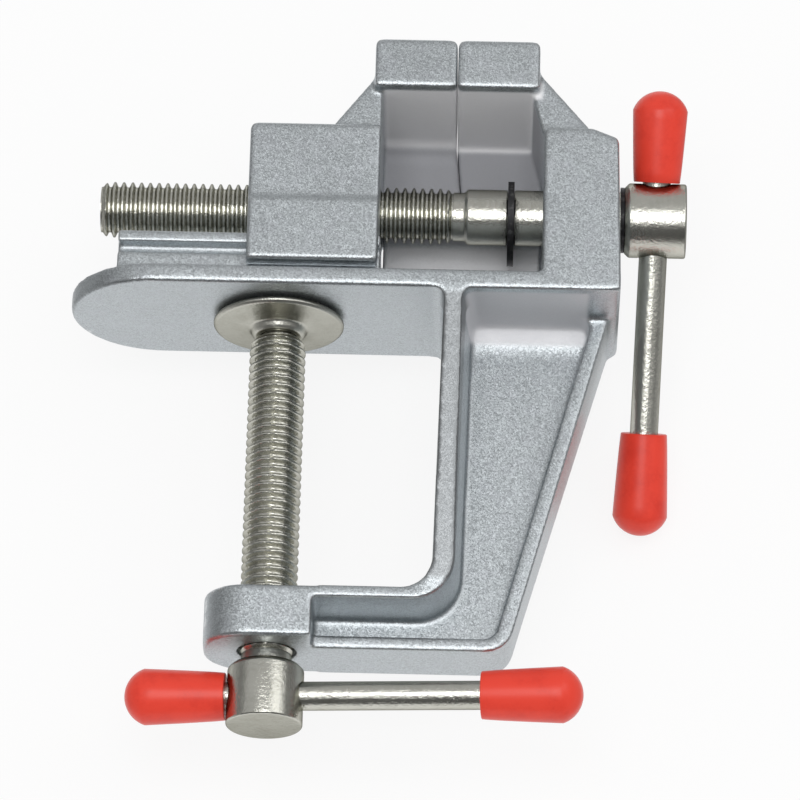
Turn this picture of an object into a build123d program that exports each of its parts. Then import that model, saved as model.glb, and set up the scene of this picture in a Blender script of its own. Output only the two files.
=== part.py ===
"""Mini table vise: a cast frame that clamps to a table edge, a sliding jaw and two screws with tommy bars.

Frame: +X from the tongue to the fixed jaw, -Y to the open front, +Z up, in millimetres.
The origin lies on the table seat (the plate's underside), on the axis of the clamp screw.
"""
from build123d import *
import math
import os

# How far joined forms sink into each other, and cutters run past a face
overlap = 1.0

# Plate that sits on the table
plate_depth = 25.0
plate_thick = 2.7
tongue_end_x = -29.3
frame_right_x = 47.9
plate_back_corner_r = 2.5
plate_edge_r = 0.45

# Rail that guides the sliding jaw
rail_left_x = -22.6
rail_depth = 20.0
rail_top_z = 8.85
groove_low_z = 5.6
groove_high_z = 7.15
groove_deep = 1.5
rail_fit = 0.3

# Jaws
jaw_gap = 0.12
fixed_face_x = 24.5
head_low_z = 30.9
head_high_z = 38.4
head_long = 11.6
head_cove_r = 3.0
back_wall = 4.9
wall_slant = 1.3
gusset_setback = 1.8
gusset_high_z = 34.4
jaw_corner_r = 0.9
cast_edge_r = 0.45

# Column of the fixed jaw
column_long = 11.0
column_top_z = 25.0
column_drop = 1.5
column_shoulder = 4.2
column_draft = 0.5

# Block of the sliding jaw
block_left_x = -4.5
block_long = 18.4
block_low_z = 3.6
block_top_z = 24.9
block_step_z = 13.2
block_step_proud = 0.4
gusset_foot = 8.0
jaw_wall_clear = 0.2

# Clamp arm below the plate
arm_inner_x = 23.3
arm_inner_lean = 0.8
throat_high = 42.9
arm_outer_top_x = 46.5
arm_outer_lean = 13.4
arm_low_depth = 14.6
boss_left_x = -8.8
boss_right_x = 6.2
boss_high = 7.5
boss_corner_r = 6.0
arm_inner_flange = 2.6
arm_outer_flange = 2.3
arm_top_flange = 1.7
arm_bottom_flange = 1.9
arm_web_front_y = 1.8
arm_web_thick = 3.0
arm_web_cove_r = 9.0
arm_web_cove_drop = 4.5
arm_recess_draft = 1.3
arm_outer_front_y = -2.6
arm_top_fillet = 1.5
arm_top_lap = 0.3
arm_throat_fillet = 4.5
arm_heel_r = 4.0

# Screws: M8 coarse
thread_d = 7.9
thread_pitch = 1.25
thread_deep = 0.72
thread_crest_share = 0.125
thread_root_share = 0.25
thread_lead_in = 0.36
screw_fit = 0.1
screw_head_d = 10.6
screw_head_chamfer = 0.7
jaw_screw_z = 16.45
jaw_screw_tip_x = -25.8
jaw_thread_end_x = 24.2
undercut_long = 1.6
undercut_d = 6.9
jaw_head_long = 8.8
clamp_head_top_z = -52.4
clamp_head_long = 8.7
clamp_neck_d = 7.0
clamp_neck_long = 1.6

# Retaining clip and thrust washer on the jaw screw
clip_x = 31.9
clip_thick = 0.9
clip_d = 13.8
clip_ring_in_d = 9.6
clip_groove_d = 7.0
clip_arm_high = 2.7
clip_prong = 2.4
clip_fit = 0.04
washer_thick = 0.55
washer_d = 9.3

# Swivel pad on the clamp screw
pad_d = 18.4
pad_thick = 1.0
pad_gap = 0.4
pad_dish = 0.35
pad_hub_d = 7.4
pad_hub_high = 1.5
pad_pin_d = 4.8
pad_pin_fit = 0.1
pad_neck_long = 0.6
pad_rivet_d = 6.2
pad_rivet_set = 0.15
pad_rivet_rim = 0.15
pad_rivet_land = 0.3
pad_rivet_cone = 0.6
pad_sink_fit = 0.2
pad_sink_clear = 0.3

# Tommy bars with dipped caps
bar_d = 4.0
bar_fit = 0.1
bar_long = 63.3
bar_end_chamfer = 0.4
jaw_upper_cap_long = 13.0
jaw_lower_cap_long = 14.6
clamp_cap_long = 14.0
cap_mouth_d = 6.6
cap_bulge_d = 7.8
cap_dome = 2.8
cap_tip_wall = 1.6
cap_rest_gap = 0.15
cap_fit = 0.02
jaw_bar_tilt = 25.6
jaw_bar_lean = 1.65
clamp_bar_turn = 4.5

# Places that follow from the sizes above
half_depth = plate_depth / 2
block_right_x = block_left_x + block_long
rail_right_x = block_right_x + jaw_gap + jaw_wall_clear
moving_face_x = fixed_face_x - jaw_gap
column_left_x = frame_right_x - column_long
wall_front_y = half_depth - back_wall
low_wall_top_z = jaw_screw_z + jaw_wall_clear
moving_wall_low_z = low_wall_top_z + jaw_wall_clear
arm_low_z = -throat_high - boss_high
jaw_head_x = frame_right_x + washer_thick
jaw_hole_x = jaw_head_x + jaw_head_long / 2
clamp_hole_z = clamp_head_top_z - clamp_head_long / 2
pad_low_z = -pad_gap - pad_thick - pad_hub_high
cap_rest = screw_head_d / 2 + cap_rest_gap
jaw_bar_reach = cap_rest + jaw_upper_cap_long
clamp_bar_reach = cap_rest + clamp_cap_long


def outline(corners):
    """A closed flat outline. Each corner is (u, v) or (u, v, fillet radius)."""
    shape = Polygon(*[(c[0], c[1]) for c in corners], align=None)
    for corner in corners:
        if len(corner) == 3:
            nearest = shape.vertices().sort_by_distance((corner[0], corner[1], 0))[0]
            shape = fillet(nearest, corner[2])
    return shape


def side_slab(corners, y_low, y_high):
    """An X-Z outline extruded along Y."""
    plane = Plane(origin=(0, y_high, 0), x_dir=(1, 0, 0), z_dir=(0, -1, 0))
    return extrude(plane * outline(corners), amount=y_high - y_low, dir=plane.z_dir)


def side_taper(corners, y, end_corners, y_end):
    """A solid between an X-Z outline at depth y and another with the same count of corners at y_end."""
    sections = []
    for depth, section in ((y, corners), (y_end, end_corners)):
        plane = Plane(origin=(0, depth, 0), x_dir=(1, 0, 0), z_dir=(0, -1, 0))
        sections.append(plane * outline(section))
    return loft(sections, ruled=True)


def end_slab(corners, x_low, x_high):
    """A Y-Z outline extruded along X."""
    plane = Plane(origin=(x_low, 0, 0), x_dir=(0, 1, 0), z_dir=(1, 0, 0))
    return extrude(plane * outline(corners), amount=x_high - x_low, dir=plane.z_dir)


def block(x_low, x_high, y_low, y_high, z_low, z_high):
    """A plain block between two corners."""
    centre = Pos((x_low + x_high) / 2, (y_low + y_high) / 2, (z_low + z_high) / 2)
    return centre * Box(x_high - x_low, y_high - y_low, z_high - z_low)


def soft_front(solid):
    """The solid with its front outline rounded like a casting."""
    return fillet(solid.faces().sort_by(Axis.Y)[0].edges(), cast_edge_r)


def x_bore(diameter, x_low, x_high):
    """A cylinder on the jaw screw's axis."""
    middle = Pos((x_low + x_high) / 2, 0, jaw_screw_z)
    return middle * Rot(0, 90, 0) * Cylinder(diameter / 2, x_high - x_low)


def cove(x_low, x_high, wall_y, roof_z, radius, drop):
    """A hollow fillet along X from a wall's front, at drop below the roof, up to the roof."""
    corner = block(
        x_low, x_high, wall_y - radius, wall_y + overlap, roof_z - drop, roof_z + overlap
    )
    centre = Pos((x_low + x_high) / 2, wall_y - radius, roof_z - drop)
    return corner - centre * Rot(0, 90, 0) * Cylinder(radius, x_high - x_low + 2 * overlap)


def jaw_head(face_x, away):
    """A jaw head. away is +1 where the head extends to +X from its clamping face."""
    low_x, high_x = sorted((face_x, face_x + away * head_long))
    corners = [
        (low_x, head_low_z, cast_edge_r),
        (low_x, head_high_z, jaw_corner_r),
        (high_x, head_high_z, jaw_corner_r),
        (high_x, head_low_z, cast_edge_r),
    ]
    return soft_front(side_slab(corners, -half_depth, half_depth))


def make_plate():
    """The table plate with its rounded tongue."""
    square_x = tongue_end_x + half_depth
    corners = [
        (square_x, -half_depth),
        (frame_right_x, -half_depth),
        (frame_right_x, half_depth, plate_back_corner_r),
        (square_x, half_depth),
    ]
    plan = outline(corners) + Pos(square_x, 0) * Circle(half_depth)
    plate = extrude(plan, amount=plate_thick, dir=(0, 0, 1))
    return fillet(plate.edges().group_by(Axis.Z)[0], plate_edge_r)


def make_rail():
    """The guide rail, with a groove along each side."""
    outer = rail_depth / 2
    inner = outer - groove_deep
    half = [
        (outer, plate_thick - overlap),
        (outer, groove_low_z),
        (inner, groove_low_z),
        (inner, groove_high_z),
        (outer, groove_high_z),
        (outer, rail_top_z),
    ]
    mirrored = [(-y, z) for y, z in reversed(half)]
    return end_slab(half + mirrored, rail_left_x, rail_right_x)


def make_fixed_jaw():
    """The column that carries the jaw screw, its gusset, back wall and head."""
    shoulder_x = frame_right_x - column_shoulder
    column = side_slab(
        [
            (column_left_x, plate_thick - overlap),
            (column_left_x, column_top_z, jaw_corner_r),
            (shoulder_x, column_top_z),
            (frame_right_x - column_draft, column_top_z - column_drop, jaw_corner_r),
            (frame_right_x, plate_thick - overlap),
        ],
        -half_depth,
        half_depth,
    )
    head_outer_x = fixed_face_x + head_long
    gusset = side_slab(
        [
            (column_left_x, column_top_z - overlap),
            (head_outer_x - overlap, head_low_z),
            (head_outer_x - overlap, gusset_high_z + overlap),
            (shoulder_x + overlap, column_top_z - overlap),
        ],
        -half_depth + gusset_setback,
        half_depth,
    )
    wall = side_slab(
        [
            (fixed_face_x + wall_slant, plate_thick - overlap),
            (fixed_face_x + wall_slant, moving_wall_low_z),
            (fixed_face_x, head_low_z),
            (fixed_face_x, head_high_z - jaw_corner_r),
            (head_outer_x - overlap, head_high_z - jaw_corner_r),
            (head_outer_x - overlap, head_low_z),
            (column_left_x + overlap, column_top_z - overlap),
            (column_left_x + overlap, plate_thick - overlap),
        ],
        wall_front_y,
        half_depth,
    )
    low_wall = block(
        rail_right_x, fixed_face_x + wall_slant + overlap, wall_front_y, half_depth,
        plate_thick - overlap, low_wall_top_z,
    )
    return soft_front(column) + gusset + wall + low_wall + jaw_head(fixed_face_x, 1)


def make_arm():
    """The C-shaped arm of I-section below the plate, with the clamp screw's boss."""
    inner_low_x = arm_inner_x - arm_inner_lean
    outer_low_x = arm_outer_top_x - arm_outer_lean
    into_plate = plate_thick / 2
    arm_root_x = arm_inner_x - arm_top_fillet - arm_top_lap
    upright = side_slab(
        [
            (arm_root_x, into_plate),
            (arm_root_x, 0),
            (arm_inner_x, 0, arm_top_fillet),
            (inner_low_x, -throat_high, arm_throat_fillet),
            (boss_right_x + overlap, -throat_high),
            (boss_right_x + overlap, arm_low_z),
            (outer_low_x, arm_low_z, arm_heel_r),
            (arm_outer_top_x, 0),
            (arm_outer_top_x, into_plate),
        ],
        -half_depth,
        half_depth,
    )
    low_half = arm_low_depth / 2
    taper = end_slab(
        [
            (-half_depth, plate_thick),
            (-half_depth, 0),
            (-low_half, -throat_high),
            (-low_half, arm_low_z),
            (low_half, arm_low_z),
            (low_half, -throat_high),
            (half_depth, 0),
            (half_depth, plate_thick),
        ],
        boss_left_x,
        frame_right_x,
    )
    boss_plan = outline(
        [
            (boss_left_x, -low_half, boss_corner_r),
            (inner_low_x, -low_half),
            (inner_low_x, low_half),
            (boss_left_x, low_half, boss_corner_r),
        ]
    )
    boss = Pos(0, 0, arm_low_z) * extrude(boss_plan, amount=boss_high, dir=(0, 0, 1))
    boss = fillet(boss.edges().group_by(Axis.Z)[0], cast_edge_r)
    boss = fillet(boss.edges().group_by(Axis.Z)[-1], cast_edge_r)
    arm = (upright & taper) + boss

    pocket_in_top_x = arm_inner_x + arm_inner_flange
    pocket_in_low_x = inner_low_x + arm_inner_flange
    pocket_high_z = -throat_high - arm_top_flange
    pocket_low_z = arm_low_z + arm_bottom_flange
    lean = arm_outer_lean / (throat_high + boss_high)
    pocket_out_top_x = arm_outer_top_x - arm_outer_flange
    pocket_out_low_x = pocket_out_top_x + lean * pocket_low_z
    bend_r = arm_throat_fillet + arm_top_flange
    pocket, pocket_floor = [
        [
            (pocket_in_top_x + draft, 0, arm_top_fillet),
            (pocket_in_low_x + draft, pocket_high_z, bend_r),
            (boss_right_x, pocket_high_z, cast_edge_r),
            (boss_right_x, pocket_low_z, cast_edge_r),
            (pocket_out_low_x, pocket_low_z, arm_heel_r - arm_bottom_flange),
            (pocket_out_top_x, 0, arm_top_fillet),
        ]
        for draft in (0, arm_recess_draft)
    ]
    set_back = [
        (pocket_in_top_x + arm_recess_draft, 0),
        (pocket_in_low_x + arm_recess_draft, pocket_high_z, bend_r),
        (boss_right_x, pocket_high_z, cast_edge_r),
        (boss_right_x, arm_low_z - overlap),
        (frame_right_x, arm_low_z - overlap),
        (frame_right_x, 0),
    ]
    arm -= side_taper(pocket, -half_depth, pocket_floor, arm_web_front_y)
    arm -= side_slab(set_back, -half_depth - overlap, arm_outer_front_y)
    arm -= side_slab(pocket, arm_web_front_y + arm_web_thick, half_depth + overlap)
    web_ends = (pocket_in_top_x, pocket_out_top_x)
    return arm + cove(*web_ends, arm_web_front_y, 0, arm_web_cove_r, arm_web_cove_drop)


def make_frame():
    """The frame: one casting, bored for the two screws."""
    frame = make_plate() + make_rail() + make_fixed_jaw() + make_arm()
    bore_d = thread_d + 2 * screw_fit
    frame -= x_bore(bore_d, column_left_x - overlap, frame_right_x + overlap)
    clamp_bore = Cylinder(bore_d / 2, boss_high + 2 * overlap)
    return frame - Pos(0, 0, -throat_high - boss_high / 2) * clamp_bore


def make_moving_jaw():
    """The sliding jaw: a block that straddles the rail, a gusset, a back wall and a head."""
    upper = side_slab(
        [
            (block_left_x, block_low_z),
            (block_left_x, block_top_z, jaw_corner_r),
            (block_right_x, block_top_z),
            (block_right_x, block_low_z),
        ],
        -half_depth,
        half_depth,
    )
    lower = side_slab(
        [
            (block_left_x, block_low_z),
            (block_left_x, block_step_z),
            (block_right_x, block_step_z),
            (block_right_x, block_low_z, jaw_corner_r),
        ],
        -half_depth - block_step_proud,
        half_depth + block_step_proud,
    )
    head_outer_x = moving_face_x - head_long
    gusset = side_slab(
        [
            (block_right_x - gusset_foot, block_top_z - overlap),
            (head_outer_x + overlap, gusset_high_z),
            (block_right_x, gusset_high_z),
            (block_right_x, block_top_z - overlap),
        ],
        -half_depth + gusset_setback,
        half_depth,
    )
    wall = side_slab(
        [
            (block_right_x - overlap, moving_wall_low_z),
            (block_right_x - overlap, head_high_z - jaw_corner_r),
            (moving_face_x, head_high_z - jaw_corner_r),
            (moving_face_x, head_low_z),
            (moving_face_x + wall_slant, moving_wall_low_z),
        ],
        wall_front_y,
        half_depth,
    )
    jaw = soft_front(upper) + soft_front(lower) + gusset + wall + jaw_head(moving_face_x, -1)
    cove_ends = (block_right_x - overlap, moving_face_x)
    jaw += cove(*cove_ends, wall_front_y, head_low_z, head_cove_r, head_cove_r)

    slot_half = rail_depth / 2 + rail_fit
    lip_half = rail_depth / 2 - groove_deep + rail_fit
    ends = (block_left_x - overlap, block_right_x + overlap)
    under_lip = block(*ends, -slot_half, slot_half, block_low_z - overlap, groove_low_z + rail_fit)
    between = block(*ends, -lip_half, lip_half, block_low_z, rail_top_z + rail_fit)
    over_lip = block(
        *ends, -slot_half, slot_half, groove_high_z - rail_fit, rail_top_z + rail_fit
    )
    jaw -= under_lip + between + over_lip
    return jaw - x_bore(thread_d + 2 * screw_fit, *ends)


def thread_profile(start, end):
    """Points (along, radius) of thread ridges of the true pitch and depth, from start to end."""
    crest_r = thread_d / 2
    root_r = crest_r - thread_deep
    crest = thread_pitch * thread_crest_share
    root = thread_pitch * thread_root_share
    flank = (thread_pitch - crest - root) / 2
    points = [(start, root_r - thread_lead_in)]
    along = start + flank
    for _ in range(int((end - start - flank) / thread_pitch)):
        points.append((along, root_r))
        points.append((along + flank, crest_r))
        points.append((along + flank + crest, crest_r))
        points.append((along + thread_pitch - root, root_r))
        along += thread_pitch
    points.append((end, root_r))
    return points


def head_profile(start, long):
    """Points of a chamfered screw head, from its inner to its outer end."""
    radius = screw_head_d / 2
    small = radius - screw_head_chamfer
    end = start + long
    return [
        (start, small),
        (start + screw_head_chamfer, radius),
        (end - screw_head_chamfer, radius),
        (end, small),
        (end, 0),
    ]


def turned(points):
    """A solid turned about the X axis from points (along, radius)."""
    section = make_face(Polyline(*points, close=True))
    return revolve(Plane.XZ * section, Axis.X)


def bar_plane(kind):
    """The plane square to a tommy bar at its screw's axis, with its normal to the bar's resting cap."""
    if kind == "jaw":
        tilt = math.radians(jaw_bar_tilt)
        lean = math.radians(jaw_bar_lean)
        flat = math.cos(lean)
        direction = (math.sin(lean), -math.sin(tilt) * flat, math.cos(tilt) * flat)
        across = (flat, math.sin(tilt) * math.sin(lean), -math.cos(tilt) * math.sin(lean))
        return Plane(origin=(jaw_hole_x, 0, jaw_screw_z), x_dir=across, z_dir=direction)
    turn = math.radians(clamp_bar_turn)
    direction = (-math.cos(turn), math.sin(turn), 0)
    return Plane(origin=(0, 0, clamp_hole_z), x_dir=(0, 0, 1), z_dir=direction)


def cross_hole(kind):
    """The tommy bar's hole through a screw head."""
    return bar_plane(kind) * Cylinder(bar_d / 2 + bar_fit, screw_head_d + 2 * overlap)


def make_jaw_screw():
    """The jaw screw: threaded tip, smooth journal with a clip groove, and a cross-drilled head."""
    shank_r = thread_d / 2
    groove_end_x = clip_x + clip_thick + 2 * clip_fit
    points = [(jaw_screw_tip_x, 0)]
    points += thread_profile(jaw_screw_tip_x, jaw_thread_end_x)
    points += [
        (jaw_thread_end_x, undercut_d / 2),
        (jaw_thread_end_x + undercut_long, undercut_d / 2),
        (jaw_thread_end_x + undercut_long, shank_r),
        (clip_x, shank_r),
        (clip_x, clip_groove_d / 2),
        (groove_end_x, clip_groove_d / 2),
        (groove_end_x, shank_r),
        (jaw_head_x, shank_r),
    ]
    points += head_profile(jaw_head_x, jaw_head_long)
    return Pos(0, 0, jaw_screw_z) * turned(points) - cross_hole("jaw")


def make_clamp_screw():
    """The clamp screw: a riveted tip for the pad, thread, neck and a cross-drilled head."""
    pin_r = pad_pin_d / 2
    thread_end = -clamp_head_top_z - clamp_neck_long
    rivet_top = pad_gap + pad_rivet_set
    points = [
        (rivet_top, 0),
        (rivet_top, pad_rivet_d / 2 - pad_rivet_rim),
        (pad_gap + pad_rivet_land, pad_rivet_d / 2),
        (pad_gap + pad_rivet_land + pad_rivet_cone, pin_r),
        (-pad_low_z + pad_neck_long, pin_r),
    ]
    points += thread_profile(-pad_low_z + pad_neck_long, thread_end)
    points += [
        (thread_end, clamp_neck_d / 2),
        (thread_end + clamp_neck_long, clamp_neck_d / 2),
    ]
    points += head_profile(thread_end + clamp_neck_long, clamp_head_long)
    return Rot(0, 90, 0) * turned(points) - cross_hole("clamp")


def make_clamp_pad():
    """The swivel pad: a dished disc with a hub, countersunk for the screw's riveted tip."""
    bore_r = pad_pin_d / 2 + pad_pin_fit
    sink_r = pad_rivet_d / 2 + pad_sink_fit
    sink_low = pad_gap + pad_rivet_land + pad_sink_clear
    disc_low = pad_gap + pad_thick
    points = [
        (pad_gap, sink_r),
        (pad_gap, pad_d / 2 - pad_dish),
        (pad_gap + pad_dish, pad_d / 2),
        (disc_low - pad_dish, pad_d / 2),
        (disc_low, pad_d / 2 - pad_dish),
        (disc_low + pad_dish, pad_hub_d / 2 + pad_dish),
        (-pad_low_z - pad_dish, pad_hub_d / 2),
        (-pad_low_z, pad_hub_d / 2 - pad_dish),
        (-pad_low_z, bore_r),
        (sink_low + pad_rivet_cone, bore_r),
        (sink_low, sink_r),
    ]
    return Rot(0, 90, 0) * turned(points)


def make_clip():
    """The E-shaped spring clip in the journal's groove, open at the top, with three inner prongs."""
    inner_r = clip_groove_d / 2 + clip_fit
    ring = Circle(clip_d / 2) - Circle(clip_ring_in_d / 2)
    prongs = Pos(0, -clip_ring_in_d / 4) * Rectangle(clip_prong, clip_ring_in_d / 2)
    prongs += Rectangle(clip_ring_in_d, clip_prong)
    opening = Pos(0, clip_arm_high + clip_d / 2) * Rectangle(clip_d, clip_d)
    section = ring + prongs - opening - Circle(inner_r)
    side = Plane(origin=(clip_x + clip_fit, 0, jaw_screw_z), x_dir=(0, 1, 0), z_dir=(1, 0, 0))
    return extrude(side * section, amount=clip_thick, dir=side.z_dir)


def make_washer():
    """The thin washer between the fixed jaw and the jaw screw's head."""
    section = Circle(washer_d / 2) - Circle(thread_d / 2 + screw_fit)
    side = Plane(origin=(frame_right_x, 0, jaw_screw_z), x_dir=(0, 1, 0), z_dir=(1, 0, 0))
    return extrude(side * section, amount=washer_thick, dir=side.z_dir)


def make_rod(kind, reach):
    """A tommy bar's plain rod, hidden in its caps at both ends. reach is how far its resting end goes."""
    long = bar_long - 2 * cap_tip_wall
    rod = chamfer(Cylinder(bar_d / 2, long).edges(), bar_end_chamfer)
    return bar_plane(kind) * Pos(0, 0, reach - bar_long / 2) * rod


def cap_shape(cap_long):
    """A dipped cap along +Z from its mouth, hollow for the rod."""
    mouth_r = cap_mouth_d / 2
    bulge_r = cap_bulge_d / 2
    shoulder = cap_long - cap_dome
    dome_r = (bulge_r**2 + cap_dome**2) / (2 * cap_dome)
    half_angle = math.asin(bulge_r / dome_r) / 2
    dome_mid = (
        dome_r * math.sin(half_angle),
        cap_long - dome_r * (1 - math.cos(half_angle)),
    )
    bore_r = bar_d / 2 + cap_fit
    wall = Polyline(
        (0, cap_long - cap_tip_wall + cap_fit),
        (bore_r, cap_long - cap_tip_wall + cap_fit),
        (bore_r, 0),
        (mouth_r, 0),
        (bulge_r, shoulder),
    )
    dome = ThreePointArc((bulge_r, shoulder), dome_mid, (0, cap_long))
    axis_line = Line((0, cap_long), (0, cap_long - cap_tip_wall + cap_fit))
    section = make_face(Wire([*wall.edges(), *dome.edges(), *axis_line.edges()]))
    return revolve(Plane.XZ * section, Axis.Z)


def make_resting_cap(kind, cap_long):
    """The cap that rests on the screw head."""
    return bar_plane(kind) * Pos(0, 0, cap_rest) * cap_shape(cap_long)


def make_far_cap(kind, reach, cap_long):
    """The cap on a bar's other end."""
    mouth = reach - bar_long + cap_long
    return bar_plane(kind) * Pos(0, 0, mouth) * Rot(180, 0, 0) * cap_shape(cap_long)


def make_parts():
    """Every node of the vise by name."""
    return {
        "frame_casting": make_frame(),
        "moving_jaw": make_moving_jaw(),
        "jaw_screw": make_jaw_screw(),
        "retaining_clip": make_clip(),
        "thrust_washer": make_washer(),
        "jaw_bar_rod": make_rod("jaw", jaw_bar_reach),
        "jaw_bar_upper_cap": make_resting_cap("jaw", jaw_upper_cap_long),
        "jaw_bar_lower_cap": make_far_cap("jaw", jaw_bar_reach, jaw_lower_cap_long),
        "clamp_screw": make_clamp_screw(),
        "clamp_pad": make_clamp_pad(),
        "clamp_bar_rod": make_rod("clamp", clamp_bar_reach),
        "clamp_bar_near_cap": make_resting_cap("clamp", clamp_cap_long),
        "clamp_bar_far_cap": make_far_cap("clamp", clamp_bar_reach, clamp_cap_long),
    }


os.makedirs("parts", exist_ok=True)
for name, solid in make_parts().items():
    export_step(solid, f"parts/{name}.step")
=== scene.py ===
"""Dresses the mini table vise: blasted castings, plated screws and bars, dipped caps, a paper studio."""
import logging
import math
from dataclasses import dataclass, field
from enum import Enum
from typing import Any

import bmesh
import bpy
from mathutils import Matrix, Vector


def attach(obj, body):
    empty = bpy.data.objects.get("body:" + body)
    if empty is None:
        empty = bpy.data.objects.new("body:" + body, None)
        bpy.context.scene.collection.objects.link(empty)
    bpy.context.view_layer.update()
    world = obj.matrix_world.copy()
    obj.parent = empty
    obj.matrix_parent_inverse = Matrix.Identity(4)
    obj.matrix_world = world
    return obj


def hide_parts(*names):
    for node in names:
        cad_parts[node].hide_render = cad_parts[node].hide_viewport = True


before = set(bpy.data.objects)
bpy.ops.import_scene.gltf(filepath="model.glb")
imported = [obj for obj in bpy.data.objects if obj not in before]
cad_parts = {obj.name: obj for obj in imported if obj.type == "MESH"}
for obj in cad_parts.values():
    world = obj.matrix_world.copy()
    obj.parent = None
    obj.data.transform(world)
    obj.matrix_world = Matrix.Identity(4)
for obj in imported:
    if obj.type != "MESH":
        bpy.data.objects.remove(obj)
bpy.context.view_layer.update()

MM = 0.001
SEGMENTS = 64
WELD = 1e-6
SCREW_SOFT = 0.22
NOISE_ROUGH = 0.6

Profile = list[tuple[float, float]]
Colour = tuple[float, float, float]
Corner = tuple[float, float, float]
Pair = tuple[float, float]

log = logging.getLogger("vise")


class Value:
    """A shader socket that holds a number and takes part in Python expressions."""

    def __init__(self, paint: "Paint", socket: bpy.types.NodeSocket) -> None:
        """Keeps the socket and the tree that it belongs to."""
        self.paint = paint
        self.socket = socket

    def _math(self, operation: str, first: Any, second: Any) -> "Value":
        """Adds one Math node.

        Args:
            operation: The Math node's operation.
            first: Its first operand.
            second: Its second operand.

        Returns:
            The node's result.
        """
        made = self.paint.node("ShaderNodeMath", {"operation": operation}, {0: first, 1: second})
        return Value(self.paint, made.outputs[0])

    def __add__(self, other: Any) -> "Value":
        """self + other."""
        return self._math("ADD", self, other)

    def __radd__(self, other: Any) -> "Value":
        """other + self."""
        return self._math("ADD", other, self)

    def __sub__(self, other: Any) -> "Value":
        """self - other."""
        return self._math("SUBTRACT", self, other)

    def __rsub__(self, other: Any) -> "Value":
        """other - self."""
        return self._math("SUBTRACT", other, self)

    def __mul__(self, other: Any) -> "Value":
        """self * other."""
        return self._math("MULTIPLY", self, other)

    def band(self, low: float, high: float) -> "Value":
        """Maps low..high smoothly to 0..1.

        Args:
            low: The value that becomes 0.
            high: The value that becomes 1.

        Returns:
            The mapped value, held between 0 and 1.
        """
        made = self.paint.node(
            "ShaderNodeMapRange",
            {"interpolation_type": "SMOOTHSTEP"},
            {"Value": self, "From Min": low, "From Max": high},
        )
        return Value(self.paint, made.outputs[0])


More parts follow.
